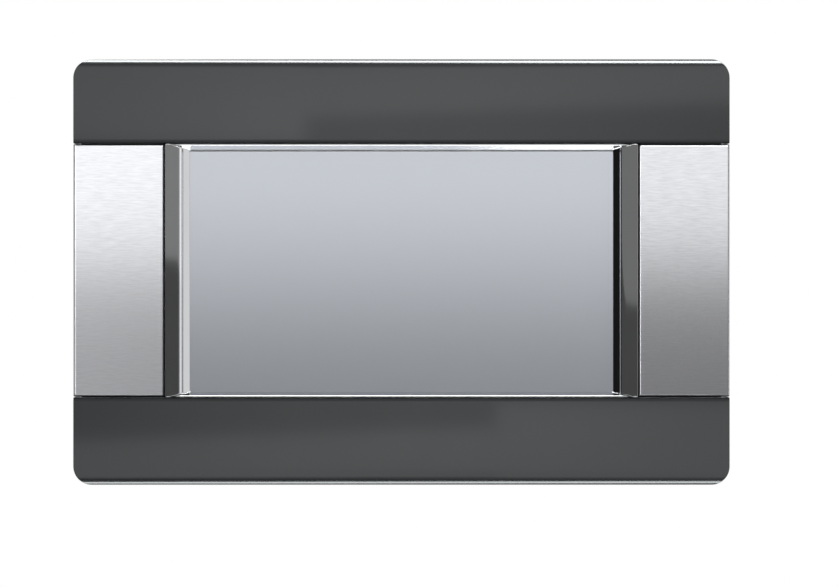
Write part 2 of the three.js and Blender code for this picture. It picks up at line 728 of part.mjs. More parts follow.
// A flex socket on the board's front, open towards the end of its ribbon. up is 1 when the ribbon
// comes from above.
function flexSocket(width, up) {
  const tip = up > 0 ? touchFlexEdge - FLEX_TAIL : lcdFlexEdge + FLEX_TAIL;
  const body = block(
    bothSides(width / 2 + FLEX_SOCKET_END),
    [boardFront - 2 * FLEX_SOCKET_HEIGHT, boardFront - LAYER_GAP],
    around(tip, FLEX_SOCKET_DEPTH),
  );
  const slot = block(
    bothSides(width / 2 + FIT_GAP),
    around(boardFront - FLEX_SOCKET_HEIGHT, FLEX_THICKNESS + 2 * FIT_GAP),
    around(tip + (up * FLEX_SOCKET_DEPTH) / 2, FLEX_SOCKET_DEPTH + 2 * FIT_GAP),
  );
  return cut(body, slot);
}

// ---------------------------------------------------------------- bracket and board

// A pressed steel bracket with posts that hold the board off the display.
function displayBracket() {
  const plate = block(bothSides(moduleX), [bracketFront, bracketBack], bothSides(bracketZ));
  const windows = BRACKET_COLUMNS.flatMap((column) =>
    bothSides(BRACKET_PITCH / 2).map((z) =>
      block(
        around(column * BRACKET_PITCH, BRACKET_WINDOW),
        grown([bracketFront, bracketBack], PAST),
        around(z, BRACKET_WINDOW),
      ),
    ),
  );
  const posts = corners(postX, postZ).map(({ x, z }) =>
    rodAlongY(x, z, POST_RADIUS, [bracketFront + BRACKET_THICKNESS / 2, boardFront - LAYER_GAP], 16),
  );
  return join(cut(plate, ...windows), ...posts);
}

function mainBoard() {
  const board = block(bothSides(boardX), [boardFront, boardBack], [boardBottom, boardTop]);
  const holes = corners(postX, postZ).map(({ x, z }) =>
    rodAlongY(x, z, BOARD_HOLE_RADIUS, grown([boardFront, boardBack], PAST), 12),
  );
  return cut(board, ...holes);
}

// Components on the back of the board. Their row hangs from the board's upper edge.
const rowZ = boardTop - ROW_DROP;
const cellX = boardX - BUTTON_CELL.inset;
const sounderX = -boardX + SOUNDER.inset;

const chip = ({ x, rise, width, height, tall }) =>
  block(around(x, width), [onBoard, onBoard + tall], around(rowZ + rise, height));

// A finned heat sink that stands on the processor.
function heatSink() {
  const { size, base, height, fins, fin } = HEAT_SINK;
  const foot = onBoard + PROCESSOR.tall + LAYER_GAP;
  const slab = block(around(PROCESSOR.x, size), [foot, foot + base], around(rowZ, size));
  const pitch = (size - fin) / (fins - 1);
  const blades = Array.from({ length: fins }, (_, i) =>
    block(
      around(PROCESSOR.x - (size - fin) / 2 + i * pitch, fin),
      [foot, foot + height],
      around(rowZ, size),
    ),
  );
  return join(slab, ...blades);
}

// A button cell lying in its holder, held by the holder's rim.
function cellHolder() {
  const { wall, floor, thumbCut } = CELL_HOLDER;
  const side = 2 * (BUTTON_CELL.radius + wall);
  const top = onBoard + floor + BUTTON_CELL.thickness;
  const body = block(around(cellX, side), [onBoard, top], around(rowZ, side));
  const cavity = [onBoard + floor - FIT_GAP, top + PAST];
  const well = rodAlongY(cellX, rowZ, BUTTON_CELL.radius + FIT_GAP, cavity);
  return cut(body, well, block(around(cellX, thumbCut), cavity, [rowZ, rowZ + side]));
}

function buttonCell() {
  const start = onBoard + CELL_HOLDER.floor;
  return rodAlongY(cellX, rowZ, BUTTON_CELL.radius, [start, start + BUTTON_CELL.thickness]);
}

// A round sounder with a small opening in its top.
function sounder() {
  const { radius, height, opening, floor } = SOUNDER;
  const can = rodAlongY(sounderX, rowZ, radius, [onBoard, onBoard + height]);
  return cut(can, rodAlongY(sounderX, rowZ, opening, [onBoard + floor, onBoard + height + PAST], 12));
}

// ---------------------------------------------------------------- connectors

const noseWidth = ({ poles, pitch }) => poles * pitch;
const shroudWidth = (terminal) => noseWidth(terminal) + 2 * (SHROUD_WALL + FIT_GAP);
const shroudMiddle = onBoard + SHROUD_HEIGHT / 2;
const cardMiddle = onBoard + CARD.shell + FIT_GAP + CARD.thickness / 2;
const cardSlotWidth = CARD.width + 2 * (CARD.shell + FIT_GAP);
const resetY = onBoard + RESET.height / 2;

// The middles of pieces of these widths, spread evenly from end to end of a row.
function spread(widths, [x0, x1]) {
  const gap = (x1 - x0 - widths.reduce((sum, width) => sum + width)) / (widths.length - 1);
  let start = x0;
  return widths.map((width) => {
    const middle = start + width / 2;
    start += width + gap;
    return middle;
  });
}

const [powerX, busX, ethernetX, usbX, cardX, resetX] = spread(
  [shroudWidth(POWER), shroudWidth(BUS), ETHERNET.width, USB.width, cardSlotWidth, RESET.size],
  bothSides(boardX - CONNECTOR_INSET),
);

// The middle of each pole of a terminal at x.
function poles({ poles: count, pitch }, x) {
  return Array.from({ length: count }, (_, i) => x + (i - (count - 1) / 2) * pitch);
}

// The board's half of a plug-in terminal: a shroud open downwards, with a pin for each pole.
function terminalHeader(terminal, x) {
  const cavityEnd = mouth + NOSE_LENGTH + PAST;
  const back = cavityEnd + HEADER_FLOOR;
  const shroud = block(
    around(x, shroudWidth(terminal)),
    around(shroudMiddle, SHROUD_HEIGHT),
    [mouth, back],
  );
  const cavity = block(
    around(x, noseWidth(terminal) + 2 * FIT_GAP),
    around(shroudMiddle, SHROUD_HEIGHT - 2 * SHROUD_WALL),
    [mouth - PAST, cavityEnd],
  );
  const pins = poles(terminal, x).map((px) =>
    rodAlongZ(px, shroudMiddle, PIN_RADIUS, [mouth + PIN_SET_BACK, back - BITE], PIN_SIDES),
  );
  return join(cut(shroud, cavity), ...pins);
}

// The plug: a nose in the shroud, and a body outside with wire entries below and screw wells behind.
function terminalPlug(terminal, x) {
  const { entry } = terminal;
  const top = mouth - FIT_GAP;
  const noseHeight = SHROUD_HEIGHT - 2 * (SHROUD_WALL + FIT_GAP);
  const nose = block(
    around(x, noseWidth(terminal)),
    around(shroudMiddle, noseHeight),
    [top - BITE, top + NOSE_LENGTH],
  );
  const body = block(
    around(x, shroudWidth(terminal)),
    around(shroudMiddle, PLUG_HEIGHT),
    [top - PLUG_BODY, top],
  );
  const bottom = top - PLUG_BODY;
  const socketZ = [top + PIN_SOCKET_START, top + NOSE_LENGTH + PAST];
  const sockets = poles(terminal, x).map((px) =>
    rodAlongZ(px, shroudMiddle, PIN_RADIUS + FIT_GAP, socketZ, PIN_SIDES),
  );
  const entries = poles(terminal, x).map((px) =>
    block(around(px, entry), around(shroudMiddle, entry), [bottom - PAST, top - WIRE_ENTRY_CAP]),
  );
  const wellY = [shroudMiddle + PLUG_WELL.floor, shroudMiddle + PLUG_HEIGHT];
  const wells = poles(terminal, x).map((px) =>
    rodAlongY(px, top - PLUG_WELL.fromTop, entry / 2, wellY, PLUG_WELL.sides),
  );
  return cut(join(nose, body), ...sockets, ...entries, ...wells);
}

// A network jack with its stepped socket for the plug's latch.
function ethernetJack() {
  const middle = onBoard + ETHERNET.height / 2;
  const body = block(
    around(ethernetX, ETHERNET.width),
    around(middle, ETHERNET.height),
    [mouth, mouth + ETHERNET.depth],
  );
  const depth = [mouth - PAST, mouth + ETHERNET_SOCKET.depth];
  const socketY = around(middle + ETHERNET_SOCKET.offset, ETHERNET_SOCKET.height);
  const step = ({ width, height }) =>
    block(around(ethernetX, width), [socketY[1] - BITE, socketY[1] + height], depth);
  const socket = block(around(ethernetX, ETHERNET_SOCKET.width), socketY, depth);
  return cut(body, socket, step(ETHERNET_LATCH), step(ETHERNET_LATCH_TIP));
}

// A USB socket: a thin shell round a contact tongue.
function usbSocket() {
  const middle = onBoard + USB.height / 2;
  const ys = around(middle, USB.height);
  const shell = block(around(usbX, USB.width), ys, [mouth, mouth + USB.depth]);
  const cavity = block(
    grown(around(usbX, USB.width), -USB.wall),
    grown(ys, -USB.wall),
    [mouth - PAST, mouth + USB.depth - USB.floor],
  );
  const tongue = block(
    around(usbX, USB_TONGUE.width),
    around(middle + USB_TONGUE.offset, USB_TONGUE.thickness),
    [mouth + USB_TONGUE.setBack, mouth + USB.depth - USB_TONGUE.end],
  );
  return join(cut(shell, cavity), tongue);
}

function cardSlot() {
  const inside = mouth - CARD.proud + CARD.length;
  const height = CARD.thickness + 2 * (CARD.shell + FIT_GAP);
  const shell = block(
    around(cardX, cardSlotWidth),
    around(cardMiddle, height),
    [mouth, inside + CARD.stop],
  );
  const cavity = block(
    around(cardX, CARD.width + 2 * FIT_GAP),
    around(cardMiddle, CARD.thickness + 2 * FIT_GAP),
    [mouth - PAST, inside + FIT_GAP],
  );
  return cut(shell, cavity);
}

// A memory card with one corner cut off at its inner end.
function memoryCard() {
  const bottom = mouth - CARD.proud;
  const top = bottom + CARD.length;
  const [x0, x1] = around(cardX, CARD.width);
  const shape = new THREE.Shape();
  shape.moveTo(x0, bottom);
  shape.lineTo(x1, bottom);
  shape.lineTo(x1, top - CARD.chamfer);
  shape.lineTo(x1 - CARD.chamfer, top);
  shape.lineTo(x0, top);
  return alongY(shape, around(cardMiddle, CARD.thickness));
}

function resetSwitch() {
  const back = mouth + RESET.depth;
  const body = block(
    around(resetX, RESET.size),
    around(resetY, RESET.height),
    [back - RESET.body, back],
  );
  const bore = rodAlongZ(
    resetX,
    resetY,
    RESET.radius + FIT_GAP,
    [back - RESET.body - PAST, back - RESET.floor],
  );
  return cut(body, bore);
}

function resetButton() {
  const tip = mouth + RESET.recess;
  const inner = mouth + RESET.depth - RESET.floor - RESET.travel - FIT_GAP;
  return rodAlongZ(resetX, resetY, RESET.radius, [tip, inner]);
}

// ---------------------------------------------------------------- rear housing

// The four corners at x and z from the middle.
function corners(x, z) {
  return [
    { name: "upper_left", x: -x, z },
    { name: "upper_right", x, z },
    { name: "lower_left", x: -x, z: -z },
    { name: "lower_right", x, z: -z },
  ];
}

// The openings in the housing's bottom wall, one for each connector.
function connectorOpenings() {
  const through = grown([-housingZ, -housingInnerZ], PAST);
  const opening = (x, width, middle, height) =>
    block(around(x, width + 2 * FIT_GAP), around(middle, height + 2 * FIT_GAP), through);
  return [
    opening(powerX, shroudWidth(POWER), shroudMiddle, SHROUD_HEIGHT),
    opening(busX, shroudWidth(BUS), shroudMiddle, SHROUD_HEIGHT),
    opening(ethernetX, ETHERNET.width, onBoard + ETHERNET.height / 2, ETHERNET.height),
    opening(usbX, USB.width, onBoard + USB.height / 2, USB.height),
    opening(cardX, cardSlotWidth, cardMiddle, CARD.thickness + 2 * (CARD.shell + FIT_GAP)),
    rodAlongZ(resetX, resetY, RESET.radius + RESET_OPENING, through),
  ];
}

// Rows of slots: in the back wall above and below its middle, and through the top wall.
function vents() {
  const count = 2 * Math.floor((housingInnerX - VENT_FREE) / VENT_PITCH) + 1;
  const places = Array.from({ length: count }, (_, i) => (i - (count - 1) / 2) * VENT_PITCH);
  const backWall = grown([HOUSING_DEPTH - HOUSING_WALL, HOUSING_DEPTH], PAST);
  const topWall = grown([housingInnerZ, housingZ], PAST);
  const topReach = [HOUSING_DEPTH - TOP_VENTS[1], HOUSING_DEPTH - TOP_VENTS[0]];
  const backRow = places.map((x) => block(around(x, VENT_WIDTH), backWall, BACK_VENTS));
  const topRow = places.map((x) => block(around(x, VENT_WIDTH), topReach, topWall));
  return [...backRow, ...topRow];
}

// An ear beside the housing that steadies the end of a clamp screw, with a rib that the dog stops
// against. Every dog turns clockwise, seen from the front, so the rib is above it on the left only.
function clampEar({ x, z }) {
  const side = Math.sign(x);
  const xs = onSide(side, housingX - BITE, earOuter);
  const dogSide = DOG_WIDTH / 2 + FIT_GAP;
  const ribZ = z - side * (dogSide + EAR_RIB / 2);
  const back = [earFront, HOUSING_DEPTH];
  const plate = block(xs, back, around(z, 2 * (dogSide + EAR_RIB)));
  const rib = block(xs, [EAR_RIB_START, HOUSING_DEPTH], around(ribZ, EAR_RIB));
  const hole = rodAlongY(x, z, CLAMP_SCREW_RADIUS + FIT_GAP, grown(back, PAST));
  return cut(join(plate, rib), hole);
}

// A blank plate in a shallow recess at the back.
function labelPlate() {
  const back = HOUSING_DEPTH - LABEL_RECESS + LAYER_GAP;
  return alongY(rounded(LABEL_X, LABEL_Z, LABEL_CORNER), [back, back + LABEL_THICKNESS]);
}

function rearHousing() {
  const outside = alongY(
    rounded(bothSides(housingX), bothSides(housingZ), HOUSING_RADIUS),
    [housingFront, HOUSING_DEPTH],
  );
  const inside = alongY(
    rounded(bothSides(housingInnerX), bothSides(housingInnerZ), HOUSING_RADIUS - HOUSING_WALL),
    [housingFront - PAST, HOUSING_DEPTH - HOUSING_WALL],
  );
  const columns = corners(columnX, columnZ).map(({ x, z }) =>
    rodAlongY(x, z, COLUMN_RADIUS, [housingFront, HOUSING_DEPTH - BITE]),
  );
  const wells = corners(columnX, columnZ).flatMap(({ x, z }) => [
    rodAlongY(x, z, HOUSING_SCREW_HEAD + FIT_GAP, [HOUSING_SCREW_DEPTH, HOUSING_DEPTH + PAST]),
    rodAlongY(x, z, HOUSING_SCREW_RADIUS + FIT_GAP, [housingFront - PAST, HOUSING_SCREW_DEPTH + PAST]),
  ]);
  const labelRecess = block(
    grown(LABEL_X, FIT_GAP),
    [HOUSING_DEPTH - LABEL_RECESS, HOUSING_DEPTH + PAST],
    grown(LABEL_Z, FIT_GAP),
  );
  const ears = corners(clampX, clampZ).map(clampEar);
  return cut(
    join(cut(outside, inside), ...columns, ...ears),
    ...wells,
    labelRecess,
    ...vents(),
    ...connectorOpenings(),
  );
}

// A screw along Y with its pan head towards +Y or -Y and a cross in the head.
function crossCut(width, length, ys) {
  return [
    block(around(0, width), ys, around(0, length)),
    block(around(0, length), ys, around(0, width)),
  ];
}

function housingScrew() {
  const { height, edge, slot, cross, deep, tip, end } = SCREW_HEAD;
  const seat = HOUSING_SCREW_DEPTH + LAYER_GAP;
  const top = seat + height;
  const start = windowWallFront + end;
  const turnedScrew = turned([
    [0, start],
    [HOUSING_SCREW_RADIUS, start + tip],
    [HOUSING_SCREW_RADIUS, seat],
    [HOUSING_SCREW_HEAD, seat],
    [HOUSING_SCREW_HEAD, top - edge],
    [HOUSING_SCREW_HEAD - edge, top],
    [0, top],
  ]);
  return cut(turnedScrew, ...crossCut(slot, cross, [top - deep, top + PAST]));
}

// ---------------------------------------------------------------- swing-out clamps, about their own axis

const clampHeadFront = carrierFront - FIT_GAP - CLAMP_HEAD_HEIGHT;

function clampScrew() {
  const { edge, crown, slot, cross, deep, tip, end } = CLAMP_SCREW_SHAPE;
  const seat = carrierFront - FIT_GAP;
  const shape = turned([
    [0, clampHeadFront],
    [CLAMP_HEAD_RADIUS - edge, clampHeadFront],
    [CLAMP_HEAD_RADIUS, clampHeadFront + crown],
    [CLAMP_HEAD_RADIUS, seat],
    [CLAMP_SCREW_RADIUS, seat],
    [CLAMP_SCREW_RADIUS, HOUSING_DEPTH - end - tip],
    [CLAMP_SCREW_RADIUS - tip, HOUSING_DEPTH - end],
    [0, HOUSING_DEPTH - end],
  ]);
  return cut(shape, ...crossCut(slot, cross, [clampHeadFront - PAST, clampHeadFront + deep]));
}

// The threaded insert, with a flange behind the dog that draws it forward.
function clampInsert() {
  const front = dogFront + FIT_GAP;
  const back = flangeFront + INSERT_FLANGE;
  const outside = turned([
    [0, front],
    [INSERT_RADIUS, front],
    [INSERT_RADIUS, flangeFront],
    [INSERT_RADIUS + INSERT_RIM, flangeFront],
    [INSERT_RADIUS + INSERT_RIM, back],
    [0, back],
  ]);
  const bore = rodAlongY(0, 0, CLAMP_SCREW_RADIUS + FIT_GAP, grown([front, back], PAST));
  return cut(outside, bore);
}

// The dog: a bar with a round end about the screw, stowed pointing down, and a stepped gripping toe.
function clampDog() {
  const half = DOG_WIDTH / 2;
  const shape = new THREE.Shape();
  shape.moveTo(-half, 0);
  shape.lineTo(-half, -DOG_REACH);
  shape.lineTo(half, -DOG_REACH);
  shape.lineTo(half, 0);
  shape.absarc(0, 0, half, 0, Math.PI);
  const bar = alongY(shape, [dogFront, dogBack], DOG_SEGMENTS);
  const relief = block(
    bothSides(half + PAST),
    [dogBack - DOG_RELIEF, dogBack + PAST],
    [-DOG_REACH - PAST, -half - DOG_SHOULDER],
  );
  const grooves = Array.from({ length: TOOTH_COUNT }, (_, i) =>
    block(
      bothSides(half + PAST),
      [dogFront - PAST, dogFront + TOOTH_DEPTH],
      around(-DOG_REACH + (i + 1) * TOOTH_PITCH, TOOTH_PITCH / 2),
    ),
  );
  const bore = rodAlongY(0, 0, INSERT_RADIUS + FIT_GAP, grown([dogFront, dogBack], PAST));
  return cut(bar, relief, ...grooves, bore);
}

// ---------------------------------------------------------------- finishes

const FINISHES = {
  trim: { color: 0x50514f, roughness: 0.35, metalness: 0.8 },
  steel: { color: 0xc4c6ca, roughness: 0.38, metalness: 1 },
  tray: { color: 0x3a3b3d, roughness: 0.4, metalness: 0.6 },
  cheek: { color: 0x58595b, roughness: 0.35, metalness: 0.6 },
  chrome: { color: 0xe4e6ea, roughness: 0.08, metalness: 1 },
  mould: { color: 0x202224, roughness: 0.6, metalness: 0 },
  rubber: { color: 0x161718, roughness: 0.85, metalness: 0 },
  glass: { color: 0xb8bcc4, roughness: 0.05, metalness: 0 },
  screen: { color: 0xa8acb4, roughness: 0.3, metalness: 0 },
  clear: { color: 0xe8ecf0, roughness: 0.15, metalness: 0 },
  flex: { color: 0xb06a20, roughness: 0.45, metalness: 0 },
  zinc: { color: 0xb4b7b8, roughness: 0.4, metalness: 1 },
  board: { color: 0x17572f, roughness: 0.5, metalness: 0 },
  chip: { color: 0x1a1b1d, roughness: 0.55, metalness: 0 },
  aluminium: { color: 0x9da1a5, roughness: 0.45, metalness: 1 },
  terminal: { color: 0x2f8f4e, roughness: 0.5, metalness: 0 },
  brass: { color: 0xb8923e, roughness: 0.35, metalness: 1 },
  button: { color: 0xd8d8d4, roughness: 0.5, metalness: 0 },
};

function part(name, made, finish) {
  const mesh = new THREE.Mesh(geometryOf(made), new THREE.MeshStandardMaterial(FINISHES[finish]));
  mesh.name = name;
  return mesh;
}

// ---------------------------------------------------------------- assembly

const panel = new THREE.Group();

function sideCover(name, side) {
  const cover = new THREE.Group();
  cover.add(part(`${name}_cover_tray`, coverTray(side), "tray"));
  cover.add(part(`${name}_side_plate`, sidePlate(side), "steel"));
  return cover;
}

function displayStack() {
  const stack = new THREE.Group();
  stack.add(part("touch_glass", touchGlass(), "glass"));
  stack.add(part("glass_seal", glassSeal(), "rubber"));
  stack.add(part("lcd_frame", lcdFrame(), "zinc"));
  stack.add(part("lcd_cell", moduleLayer(cellFront, CELL_THICKNESS), "screen"));
  stack.add(part("light_guide", moduleLayer(guideFront, LIGHT_GUIDE_THICKNESS), "clear"));
  stack.add(part("reflector_tray", moduleLayer(reflectorFront, REFLECTOR_THICKNESS), "button"));
  stack.add(part("touch_flex", touchFlex(), "flex"));
  stack.add(part("lcd_flex", lcdFlex(), "flex"));
  return stack;
}

function electronics() {
  const boardGroup = new THREE.Group();
  boardGroup.add(part("display_bracket", displayBracket(), "zinc"));
  boardGroup.add(part("main_board", mainBoard(), "board"));
  boardGroup.add(part("touch_flex_socket", flexSocket(TOUCH_FLEX_WIDTH, 1), "button"));
  boardGroup.add(part("lcd_flex_socket", flexSocket(LCD_FLEX_WIDTH, -1), "button"));
  boardGroup.add(part("processor", chip(PROCESSOR), "chip"));
  boardGroup.add(part("heat_sink", heatSink(), "aluminium"));
  boardGroup.add(part("memory_chip", chip(MEMORY), "chip"));
  boardGroup.add(part("flash_chip", chip(FLASH), "chip"));
  boardGroup.add(part("cell_holder", cellHolder(), "chip"));
  boardGroup.add(part("button_cell", buttonCell(), "zinc"));
  boardGroup.add(part("sounder", sounder(), "chip"));
  boardGroup.add(part("ethernet_jack", ethernetJack(), "zinc"));
  boardGroup.add(part("usb_socket", usbSocket(), "zinc"));
  boardGroup.add(part("power_header", terminalHeader(POWER, powerX), "terminal"));
  boardGroup.add(part("power_plug", terminalPlug(POWER, powerX), "terminal"));
  boardGroup.add(part("bus_header", terminalHeader(BUS, busX), "terminal"));
  boardGroup.add(part("bus_plug", terminalPlug(BUS, busX), "terminal"));
  boardGroup.add(part("card_slot", cardSlot(), "zinc"));
  boardGroup.add(part("memory_card", memoryCard(), "chip"));
  boardGroup.add(part("reset_switch", resetSwitch(), "chip"));
  boardGroup.add(part("reset_button", resetButton(), "button"));
  return boardGroup;
}

// The dog is stowed pointing down on the left and up on the right.
function clamp({ name, x, z }) {
  const group = new THREE.Group();
  group.position.set(x, 0, z);
  const dog = part(`clamp_dog_${name}`, clampDog(), "mould");
  dog.rotation.y = x < 0 ? 0 : Math.PI;
  group.add(part(`clamp_screw_${name}`, clampScrew(), "zinc"));
  group.add(part(`clamp_insert_${name}`, clampInsert(), "brass"));
  group.add(dog);
  return group;
}

panel.add(part("top_trim", trim(1), "trim"));
panel.add(part("bottom_trim", trim(-1), "trim"));
panel.add(sideCover("left", -1));
panel.add(sideCover("right", 1));
panel.add(part("left_cheek", cheek(-1), "cheek"));
panel.add(part("right_cheek", cheek(1), "cheek"));
panel.add(part("screen_surround", screenSurround(), "chrome"));
panel.add(part("front_carrier", frontCarrier(), "mould"));
panel.add(part("wall_gasket", wallGasket(), "rubber"));
panel.add(displayStack());
panel.add(electronics());
panel.add(part("rear_housing", rearHousing(), "mould"));
panel.add(part("label_plate", labelPlate(), "zinc"));
for (const { name, x, z } of corners(columnX, columnZ)) {
  const screw = part(`housing_screw_${name}`, housingScrew(), "zinc");
  screw.position.set(x, 0, z);
  panel.add(screw);
}
for (const corner of corners(clampX, clampZ)) panel.add(clamp(corner));

export default panel;
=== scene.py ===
"""Looks for a flush-mounted touch panel: finishes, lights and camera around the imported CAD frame."""

import json
import math

import bmesh
import bpy
from mathutils import Matrix, Vector


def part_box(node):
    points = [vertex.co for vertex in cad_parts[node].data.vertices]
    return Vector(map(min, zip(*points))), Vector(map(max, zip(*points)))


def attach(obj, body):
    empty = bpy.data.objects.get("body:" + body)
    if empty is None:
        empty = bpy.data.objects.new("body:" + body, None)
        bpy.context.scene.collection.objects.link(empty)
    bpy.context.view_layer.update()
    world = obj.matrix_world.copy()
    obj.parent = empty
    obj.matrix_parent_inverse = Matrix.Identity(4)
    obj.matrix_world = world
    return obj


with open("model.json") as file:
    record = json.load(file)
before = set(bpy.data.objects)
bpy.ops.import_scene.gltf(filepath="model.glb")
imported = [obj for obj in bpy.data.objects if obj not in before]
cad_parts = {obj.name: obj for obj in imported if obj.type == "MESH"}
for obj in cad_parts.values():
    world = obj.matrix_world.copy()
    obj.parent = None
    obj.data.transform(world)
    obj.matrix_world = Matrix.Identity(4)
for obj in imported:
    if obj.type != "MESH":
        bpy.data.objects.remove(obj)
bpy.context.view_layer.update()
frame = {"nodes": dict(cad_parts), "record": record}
nodes = frame["nodes"]
record = frame["record"]

MM = 0.001
added = {}  # the pieces made here, by name

# ------------------------------------------------------------------ places, from the frame

top_low, top_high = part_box("top_trim")
bottom_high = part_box("bottom_trim")[1]
glass_low, glass_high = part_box("touch_glass")
FRONT_WIDTH = top_high.x - top_low.x
FACE_Y = top_low.y  # the face of the trims, which face -Y

# ------------------------------------------------------------------ camera

SENSOR = 36.0
DISTANCE = 1.5  # from the camera to the front
VIEW_WIDTH = FRONT_WIDTH * 1.278  # the picture's width on the plane of the front
SHIFT_X = 0.0215
SHIFT_Y = -0.0256


def make_camera():
    data = bpy.data.cameras.new("camera")
    data.sensor_width = SENSOR
    data.lens = SENSOR * DISTANCE / VIEW_WIDTH
    data.shift_x = SHIFT_X
    data.shift_y = SHIFT_Y
    camera = bpy.data.objects.new("camera", data)
    camera.location = (0, FACE_Y - DISTANCE, 0)
    camera.rotation_euler = (math.radians(90), 0, 0)
    bpy.context.scene.collection.objects.link(camera)
    bpy.context.scene.camera = camera


# ------------------------------------------------------------------ lights


def light_group(light, names, state):
    """Lets a light reach only these nodes and pieces (INCLUDE), or all but them (EXCLUDE)."""
    group = bpy.data.collections.new(f"{light.name}_{state.lower()}")
    for name in names:
        group.objects.link(added.get(name) or nodes[name])
    for each in group.collection_objects:
        each.light_linking.link_state = state
    light.light_linking.receiver_collection = group


def softbox(name, centre, aim, width, height, radiance, turn=0.0, only=(), but=()):
    """A rectangular area light of even radiance, facing aim, that the camera doesn't see."""
    data = bpy.data.lights.new(name, "AREA")
    data.shape = "RECTANGLE"
    data.size = width
    data.size_y = height
    data.energy = radiance * width * height * math.pi
    light = bpy.data.objects.new(name, data)
    light.location = centre
    towards = Vector(aim) - Vector(centre)
    facing = towards.to_track_quat("-Z", "Y").to_matrix().to_4x4()
    light.rotation_euler = (facing @ Matrix.Rotation(turn, 4, "Z")).to_euler()
    light.visible_camera = False
    bpy.context.scene.collection.objects.link(light)
    if only:
        light_group(light, only, "INCLUDE")
    if but:
        light_group(light, but, "EXCLUDE")


def card(name, xs, zs, away, radiance, only, turn=0.0):
    """A pale card parallel to the front and a little way before it, which only some nodes reflect."""
    centre = ((xs[0] + xs[1]) / 2, FACE_Y - away, (zs[0] + zs[1]) / 2)
    aim = (centre[0], FACE_Y, centre[2])
    softbox(name, centre, aim, xs[1] - xs[0], zs[1] - zs[0], radiance, turn, only)


PLATES = ("left_side_plate", "right_side_plate")
TRIMS = ("top_trim", "bottom_trim")
CHEEKS = ("left_cheek", "right_cheek")
MIDDLE = (0, -0.02, 0)  # what the studio lights are aimed at
FACE_MIDDLE = (0, FACE_Y, 0)
WIDE = (-0.4, 0.4)  # spans of the cards, either side of the middle
BROAD = (-0.3, 0.3)
LIP_WIDTH = (-0.1, 0.1)
PLATE_CARDS = 0.11  # how far the cards stand from the front
CHEEK_CARDS = 0.1
TRIM_CARDS = 0.04
TRIM_GLOW = 0.19  # radiance of the trims' cards
TRIM_SLOPE = math.radians(2)  # of the bright band's edge across a trim


def make_studio():
    """Light from above, below, the right and behind. Each trim's inner edge is left dark."""
    long, deep = 1.3, 0.38
    unlit = ("bottom_trim", "screen_surround")
    softbox("overhead", (-0.05, -0.1, 0.62), MIDDLE, long, deep, 8.0, but=unlit)
    softbox("underneath", (-0.05, -0.1, -0.62), MIDDLE, long, deep, 3.7, but=("top_trim",) + PLATES)
    softbox("right_side", (0.62, -0.36, 0.02), MIDDLE, 0.5, 0.8, 0.66, but=PLATES)
    softbox("behind_camera", (0, -1.62, 0), (0, 0, 0), 0.34, 0.3, 0.3, but=PLATES + CHEEKS)
    softbox("back_key", (-0.5, 0.8, 0.7), (0, 0, 0), 0.8, 0.6, 3.0)
    softbox("back_fill", (0.9, 0.7, 0.1), (0, 0, 0), 0.8, 0.8, 1.2)


def light_plates():
    """A bright sky over a dim ground, so that the plates fade downwards, and light for their edges."""
    horizon = 0.004
    card("plate_sky", BROAD, (horizon, 0.3), PLATE_CARDS, 1.04, PLATES)
    card("plate_low", BROAD, (-0.3, horizon), PLATE_CARDS, 0.13, PLATES)
    card("plate_left", (-0.4, -0.02), BROAD, 0.1, 0.13, PLATES)
    softbox("plate_left_edges", (-0.55, -0.6, 0), FACE_MIDDLE, 0.25, 0.25, 6.0, only=PLATES)
    softbox("plate_lower_edges", (0, -0.6, -0.5), FACE_MIDDLE, 0.5, 0.06, 4.0, only=PLATES)


def light_recess():
    """A dim room and a pale sky for each cheek, and light for the left nose and the lips' rims."""
    left, right = CHEEKS[:1], CHEEKS[1:]
    card("cheek_room", WIDE, BROAD, 0.2, 0.05, CHEEKS)
    softbox("left_nose", (0.3, -0.45, 0), (-0.08, FACE_Y, 0), 0.42, 0.5, 0.36, only=left)
    card("lip_rims", LIP_WIDTH, BROAD, 0.2, 0.8, ("screen_surround",) + tuple(added))
    card("left_cheek_sky", (-0.3, 0.1), (0.006, 0.25), CHEEK_CARDS, 0.145, left, math.radians(-4))
    card("right_cheek_sky", (-0.1, 0.3), (-0.013, 0.25), CHEEK_CARDS, 0.1, right, math.radians(-8))


def light_trims():
    """An even glow, and a bright band over part of each trim; the lower one is the upper one turned."""
    end, bend = 0.15, 0.036
    near, far, outer = 0.048, 0.061, 0.083
    card("trim_room", WIDE, (-0.17, 0.17), 0.3, 0.15, TRIMS)
    bands = (
        ("top_trim_left", (-end, -bend), (near, outer), 0.0),
        ("top_trim_right", (-bend, end), (far, outer), TRIM_SLOPE),
        ("bottom_trim_left", (-end, bend), (-outer, -far), TRIM_SLOPE),
        ("bottom_trim_right", (bend, end), (-outer, -near), 0.0),
    )
    for name, xs, zs, turn in bands:
        trim = name.rsplit("_", 1)[0]
        card(name, xs, zs, TRIM_CARDS, TRIM_GLOW, (trim,), turn)


def make_lights():
    make_studio()
    light_plates()
    light_recess()
    light_trims()


MATT_LIGHT = (0.9, 0.93, 1, 1)
MATT_STRENGTH = 0.45
ROOM_STRENGTH = 0.008  # what gloss reflects of the room in front
BACK_STRENGTH = 0.5  # and of the wall behind
BACK_FROM = 0.7  # how far round the back that wall starts to be even


